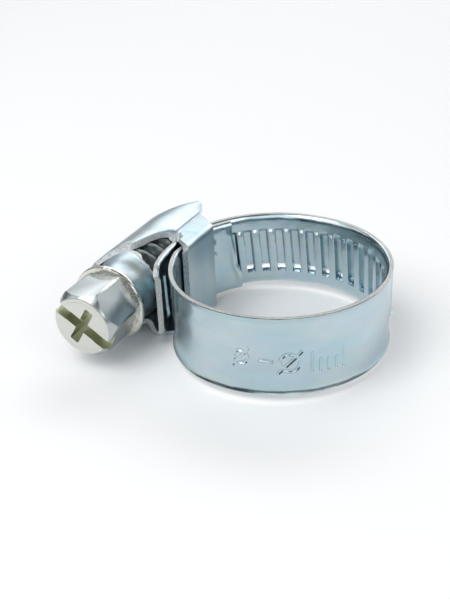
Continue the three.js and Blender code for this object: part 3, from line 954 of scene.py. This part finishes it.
def build_worm():
    """The worm: a root with one right-handed ridge, as one closed skin whose radius follows the thread."""
    segments = 72
    step = 0.1
    ys = []
    y = WORM_START - 1.3
    while y < WORM_END + 1.25:
        ys.append(y)
        y += step
    vertices, flow = [], []

    def radius_at(turn, y):
        phase = (y / PITCH - turn / (2 * math.pi)) % 1.0
        away = min(phase, 1 - phase) * PITCH
        ridge = 1 - smoothstep(away, 0.2, 0.5)
        run_in = smoothstep(y, WORM_START - 0.5, WORM_START + 0.2)
        ends = run_in * (1 - smoothstep(y, WORM_END - 0.1, WORM_END + 0.5))
        root = lerp(NECK_RADIUS, WORM_ROOT, smoothstep(y, WORM_START - 1.1, WORM_START - 0.6))
        root -= 0.7 * smoothstep(y, WORM_END + 0.6, WORM_END + 1.2)
        return root + (WORM_TIP - WORM_ROOT) * ridge * ends

    for y in ys:
        for i in range(segments):
            turn = 2 * math.pi * i / segments
            r = radius_at(turn, y)
            vertices.append((SCREW_X + r * math.cos(turn), y, -r * math.sin(turn)))
            flow.append((r * math.cos(turn), y, r * math.sin(turn)))
    first, last = len(vertices), len(vertices) + 1
    vertices += [(SCREW_X, ys[0], 0), (SCREW_X, ys[-1], 0)]
    flow += [(0, ys[0], 0), (0, ys[-1], 0)]
    faces = []
    rows = len(ys)
    for i in range(segments):
        n = (i + 1) % segments
        for k in range(rows - 1):
            a, b = k * segments + i, k * segments + n
            faces.append((a, b, b + segments, a + segments))
        faces.append((first, n, i))
        faces.append((last, (rows - 1) * segments + i, (rows - 1) * segments + n))
    piece = new_piece("screw_worm", vertices, faces, flow, [WORM_PAINTED_SHADE_ZINC])
    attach(piece, "screw")


def build_screw():
    head = build_head()
    finish_solid(head, "screw", 0.05, 20.0)
    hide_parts("screw")
    collar = [
        (2.2, COLLAR_FRONT), (COLLAR_RADIUS - 0.3, COLLAR_FRONT),
        (COLLAR_RADIUS - 0.1, COLLAR_FRONT + 0.05),
        (COLLAR_RADIUS - 0.02, COLLAR_FRONT + 0.16), (COLLAR_RADIUS, COLLAR_FRONT + 0.3),
        (COLLAR_RADIUS, COLLAR_BACK - 0.25), (COLLAR_RADIUS - 0.04, COLLAR_BACK - 0.1),
        (COLLAR_RADIUS - 0.16, COLLAR_BACK), (2.8, COLLAR_BACK), (NECK_RADIUS, COLLAR_BACK + 0.12),
        (NECK_RADIUS, WORM_START - 1.1), (2.2, WORM_START - 1.1),
    ]
    lathe("screw_collar", collar, [COLLAR_ZINC], "screw")
    build_worm()


build_plain_band()
build_thread()
build_tongue()
build_housing()
build_neck()
build_screw()


# ---- floor, light and camera ----

FLOOR_HALF = 3.0                 # in metres
FLOOR_GAP = 0.00002              # in metres, so that the floor and the clamp don't flicker


def build_floor():
    mesh = bpy.data.meshes.new("floor")
    z = cad_box[0][2] - FLOOR_GAP
    corners = [(-FLOOR_HALF, -FLOOR_HALF, z), (FLOOR_HALF, -FLOOR_HALF, z),
               (FLOOR_HALF, FLOOR_HALF, z), (-FLOOR_HALF, FLOOR_HALF, z)]
    mesh.from_pydata(corners, [], [(0, 1, 2, 3)])
    floor = bpy.data.objects.new("floor", mesh)
    bpy.context.scene.collection.objects.link(floor)
    material = bpy.data.materials.new("floor_white")
    material.use_nodes = True
    shader = material.node_tree.nodes["Principled BSDF"]
    shader.inputs["Base Color"].default_value = (0.97, 0.97, 0.97, 1.0)
    shader.inputs["Roughness"].default_value = 0.9
    shader.inputs["Specular IOR Level"].default_value = 0.1
    mesh.materials.append(material)


def build_world():
    """A studio: bright panels with darker gaps between them, and plain white behind the object."""
    world = bpy.data.worlds.new("studio")
    bpy.context.scene.world = world
    world.use_nodes = True
    tree = world.node_tree
    background = tree.nodes["Background"]
    coordinates = tree.nodes.new("ShaderNodeTexCoord")
    split = tree.nodes.new("ShaderNodeSeparateXYZ")
    rise = tree.nodes.new("ShaderNodeValToRGB")
    stops = [(0.0, 0.5), (0.12, 0.12), (0.26, 0.10), (0.36, 1.3), (0.60, 1.5), (0.72, 0.5), (1.0, 1.7)]
    while len(rise.color_ramp.elements) < len(stops):
        rise.color_ramp.elements.new(0.5)
    for element, (position, value) in zip(rise.color_ramp.elements, stops):
        element.position = position
        element.color = (value * 0.97, value, value * 1.03, 1.0)
    panels = tree.nodes.new("ShaderNodeTexNoise")
    panels.inputs["Scale"].default_value = 1.7
    panels.inputs["Detail"].default_value = 0.5
    steps = tree.nodes.new("ShaderNodeMapRange")
    steps.inputs["From Min"].default_value = 0.44
    steps.inputs["From Max"].default_value = 0.52
    steps.inputs["To Min"].default_value = 0.1
    steps.inputs["To Max"].default_value = 1.25
    product = tree.nodes.new("ShaderNodeMix")
    product.data_type = "RGBA"
    product.blend_type = "MULTIPLY"
    product.inputs[0].default_value = 1.0
    path = tree.nodes.new("ShaderNodeLightPath")
    plain = tree.nodes.new("ShaderNodeMix")
    plain.data_type = "RGBA"
    plain.inputs[7].default_value = (1.0, 1.0, 1.0, 1.0)
    tree.links.new(coordinates.outputs["Generated"], split.inputs[0])
    tree.links.new(split.outputs["Z"], rise.inputs["Fac"])
    tree.links.new(coordinates.outputs["Generated"], panels.inputs["Vector"])
    tree.links.new(panels.outputs["Fac"], steps.inputs["Value"])
    tree.links.new(rise.outputs["Color"], product.inputs[6])
    tree.links.new(steps.outputs["Result"], product.inputs[7])
    tree.links.new(path.outputs["Is Camera Ray"], plain.inputs[0])
    tree.links.new(product.outputs[2], plain.inputs[6])
    tree.links.new(plain.outputs[2], background.inputs["Color"])
    background.inputs["Strength"].default_value = 0.8


def add_panel(name, azimuth, elevation, distance, size, power):
    """A soft panel light that looks at the object from that direction."""
    light = bpy.data.lights.new(name, "AREA")
    light.shape = "RECTANGLE"
    light.size, light.size_y = size
    light.energy = power
    panel = bpy.data.objects.new(name, light)
    bpy.context.scene.collection.objects.link(panel)
    a, e = math.radians(azimuth), math.radians(elevation)
    back = Vector((math.sin(a) * math.cos(e), -math.cos(a) * math.cos(e), math.sin(e)))
    panel.location = RING + back * distance
    panel.rotation_euler = back.to_track_quat("Z", "Y").to_euler()


CAMERA_AZIMUTH = 24.2
CAMERA_ELEVATION = 29.44
CAMERA_DISTANCE = 105.718
CAMERA_LENS = 57.39
CAMERA_YAW = 3.171               # degrees the view is turned away from the ring's middle
CAMERA_TILT = -0.178
CAMERA_ROLL = -0.384


def build_camera():
    data = bpy.data.cameras.new("camera")
    data.sensor_width = 36
    data.lens = CAMERA_LENS
    data.clip_start = 0.005
    data.clip_end = 20
    camera = bpy.data.objects.new("camera", data)
    bpy.context.scene.collection.objects.link(camera)
    a, e = math.radians(CAMERA_AZIMUTH), math.radians(CAMERA_ELEVATION)
    back = Vector((math.sin(a) * math.cos(e), -math.cos(a) * math.cos(e), math.sin(e)))
    forward = -back
    right = Vector((math.cos(a), math.sin(a), 0))
    up = right.cross(forward)
    yaw, tilt, roll = (math.radians(angle) for angle in (CAMERA_YAW, CAMERA_TILT, CAMERA_ROLL))
    forward, right = (
        forward * math.cos(yaw) - right * math.sin(yaw),
        right * math.cos(yaw) + forward * math.sin(yaw),
    )
    forward, up = (
        forward * math.cos(tilt) + up * math.sin(tilt),
        up * math.cos(tilt) - forward * math.sin(tilt),
    )
    right, up = (
        right * math.cos(roll) + up * math.sin(roll),
        up * math.cos(roll) - right * math.sin(roll),
    )
    turn = Matrix((right, up, -forward)).transposed()
    camera.matrix_world = Matrix.Translation(RING + back * CAMERA_DISTANCE * MM) @ turn.to_4x4()
    bpy.context.scene.camera = camera


build_floor()
build_world()
add_panel("key", CAMERA_AZIMUTH - 50, 55, 0.35, (0.25, 0.25), 0.62)
add_panel("fill", CAMERA_AZIMUTH + 60, 35, 0.4, (0.3, 0.2), 0.22)
add_panel("back", CAMERA_AZIMUTH + 175, 40, 0.4, (0.35, 0.12), 0.35)
build_camera()
bpy.context.scene.view_settings.view_transform = "Standard"
